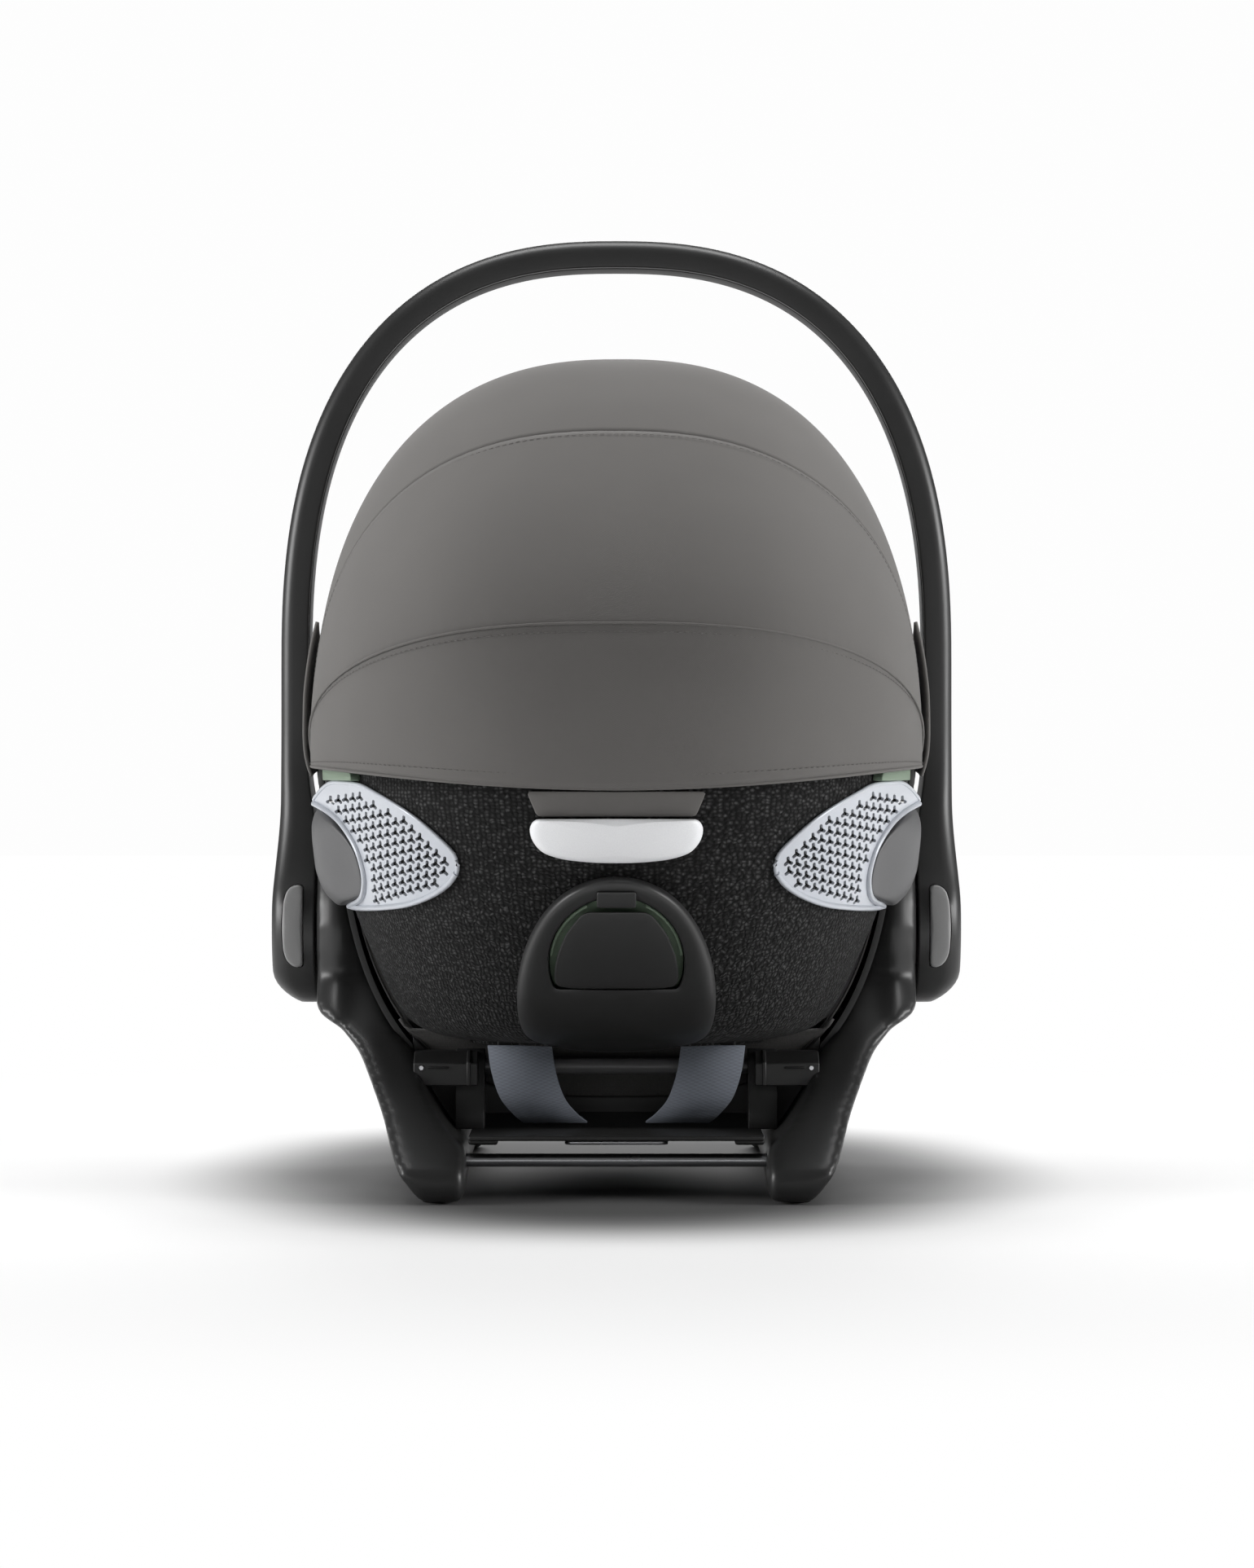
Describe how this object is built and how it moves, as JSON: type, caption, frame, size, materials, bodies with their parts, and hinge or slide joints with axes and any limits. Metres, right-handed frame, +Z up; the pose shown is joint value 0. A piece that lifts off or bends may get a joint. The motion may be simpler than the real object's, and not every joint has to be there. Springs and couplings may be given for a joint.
{
  "type": "infant carrier car seat",
  "caption": "Rear-facing infant carrier seat with a swinging carry handle, folding sun canopy, reclining back, sliding headrest and rear belt guide.",
  "frame": {"origin": "on the floor, below the middle of the whole seat's box", "axes": "+Z up, +Y towards the child's feet, -Y the back of the seat, +X across the seat"},
  "size_m": [0.441, 0.6638, 0.604],
  "materials": {
    "black_plastic": "fine moulded grain",
    "frame_plastic": "satin moulded",
    "grey_plastic": "satin moulded",
    "button_plastic": "satin moulded",
    "silver_plastic": "satin silver paint",
    "green_plastic": "satin moulded",
    "steel": "drawn bar",
    "rubber": "matt",
    "canopy_fabric": "fine plain weave",
    "knit_fabric": "coarse black knit",
    "cushion_fabric": "brushed jersey",
    "webbing": "woven webbing"
  },
  "bodies": {
    "base": {"base_shell": "black_plastic", "side_frame_right": "frame_plastic", "side_frame_left": "frame_plastic", "foot_rear_right": "rubber", "foot_rear_left": "rubber", "foot_front_right": "rubber", "foot_front_left": "rubber", "latch_bar_rear": "steel", "latch_bar_front": "steel", "recline_tube": "steel", "recline_bracket_right": "black_plastic", "recline_bracket_left": "black_plastic", "handle_pin_right": "steel", "handle_pin_left": "steel", "seat_pad": "cushion_fabric", "crotch_strap": "webbing", "buckle_body": "black_plastic", "buckle_tongue_right": "steel", "buckle_tongue_left": "steel", "adjuster_housing": "black_plastic", "adjuster_strap": "webbing", "harness_yoke": "steel"},
    "backrest": {"back_shell": "black_plastic", "back_cover": "knit_fabric", "back_patch": "canopy_fabric", "vent_wing_right": "silver_plastic", "vent_wing_left": "silver_plastic", "belt_hook_right": "green_plastic", "belt_hook_left": "green_plastic", "belt_guide_housing": "black_plastic", "belt_guide_liner": "green_plastic", "back_pad": "cushion_fabric", "shoulder_strap_right": "webbing", "shoulder_strap_left": "webbing", "shoulder_pad_right": "cushion_fabric", "shoulder_pad_left": "cushion_fabric", "rear_strap_right": "webbing", "rear_strap_left": "webbing", "canopy_rear_panel": "canopy_fabric"},
    "headrest": {"headrest_shell": "grey_plastic", "headrest_pad": "cushion_fabric"},
    "release_lever_body": {"release_lever": "silver_plastic"},
    "belt_flap_body": {"belt_flap": "black_plastic"},
    "belt_tab_body": {"belt_tab": "black_plastic"},
    "impact_pad_right_body": {"impact_pad_right": "button_plastic"},
    "impact_pad_left_body": {"impact_pad_left": "button_plastic"},
    "canopy_mid": {"canopy_mid_panel": "canopy_fabric", "canopy_mid_bow": "grey_plastic"},
    "canopy_front": {"canopy_top_panel": "canopy_fabric", "canopy_front_bow": "grey_plastic"},
    "handle": {"handle_frame": "frame_plastic", "handle_trim": "grey_plastic"},
    "handle_button_right_body": {"handle_button_right": "button_plastic"},
    "handle_button_left_body": {"handle_button_left": "button_plastic"},
    "buckle_button_body": {"buckle_button": "button_plastic"},
    "adjuster_button_body": {"adjuster_button": "button_plastic"},
    "recline_handle_body": {"recline_handle": "grey_plastic"}
  },
  "joints": [
    {"name": "handle_swing", "type": "hinge", "parent": "base", "child": "handle", "pos_m": [0, -0.01615, 0.162], "axis": [-1, 0, 0], "range_deg": [-105, 0]},
    {"name": "handle_button_right_press", "type": "slide", "parent": "handle", "child": "handle_button_right_body", "axis": [-1, 0, 0], "range_m": [0, 0.005], "stiffness_N_per_m": 600},
    {"name": "handle_button_left_press", "type": "slide", "parent": "handle", "child": "handle_button_left_body", "axis": [1, 0, 0], "range_m": [0, 0.005], "stiffness_N_per_m": 600},
    {"name": "backrest_recline", "type": "hinge", "parent": "base", "child": "backrest", "pos_m": [0, -0.11115, 0.077], "axis": [1, 0, 0], "range_deg": [0, 18]},
    {"name": "headrest_slide", "type": "slide", "parent": "backrest", "child": "headrest", "axis": [0, -0.1961, 0.9806], "range_m": [0, 0.06]},
    {"name": "release_lever_pull", "type": "slide", "parent": "backrest", "child": "release_lever_body", "axis": [0, -0.6247, 0.7809], "range_m": [0, 0.01], "stiffness_N_per_m": 900},
    {"name": "belt_flap_open", "type": "hinge", "parent": "backrest", "child": "belt_flap_body", "pos_m": [0, -0.23855, 0.1316], "axis": [1, 0, 0], "range_deg": [0, 70]},
    {"name": "belt_tab_slide", "type": "slide", "parent": "backrest", "child": "belt_tab_body", "axis": [0, -0.6, 0.8], "range_m": [0, 0.004], "stiffness_N_per_m": 300},
    {"name": "impact_pad_right_out", "type": "slide", "parent": "backrest", "child": "impact_pad_right_body", "axis": [1, 0, 0], "range_m": [0, 0.032]},
    {"name": "impact_pad_left_out", "type": "slide", "parent": "backrest", "child": "impact_pad_left_body", "axis": [-1, 0, 0], "range_m": [0, 0.032]},
    {"name": "canopy_mid_fold", "type": "hinge", "parent": "backrest", "child": "canopy_mid", "pos_m": [0, -0.05115, 0.265], "axis": [1, 0, 0], "range_deg": [0, 22], "deforming": ["canopy_mid_panel"]},
    {"name": "canopy_front_fold", "type": "hinge", "parent": "canopy_mid", "child": "canopy_front", "pos_m": [0, -0.05115, 0.265], "axis": [1, 0, 0], "range_deg": [0, 66], "deforming": ["canopy_top_panel"]},
    {"name": "buckle_button_press", "type": "slide", "parent": "base", "child": "buckle_button_body", "axis": [0, -1, 0], "range_m": [0, 0.004], "stiffness_N_per_m": 1500},
    {"name": "adjuster_button_press", "type": "slide", "parent": "base", "child": "adjuster_button_body", "axis": [0, 0.579, -0.8153], "range_m": [0, 0.003], "stiffness_N_per_m": 900},
    {"name": "recline_handle_pull", "type": "hinge", "parent": "base", "child": "recline_handle_body", "pos_m": [0, 0.18685, 0.056], "axis": [1, 0, 0], "range_deg": [0, 15], "stiffness_Nm_per_rad": 1.5}
  ],
  "couplings": [
    {"joint": "canopy_mid_fold", "follows": "canopy_front_fold", "ratio": 0.33333}
  ]
}
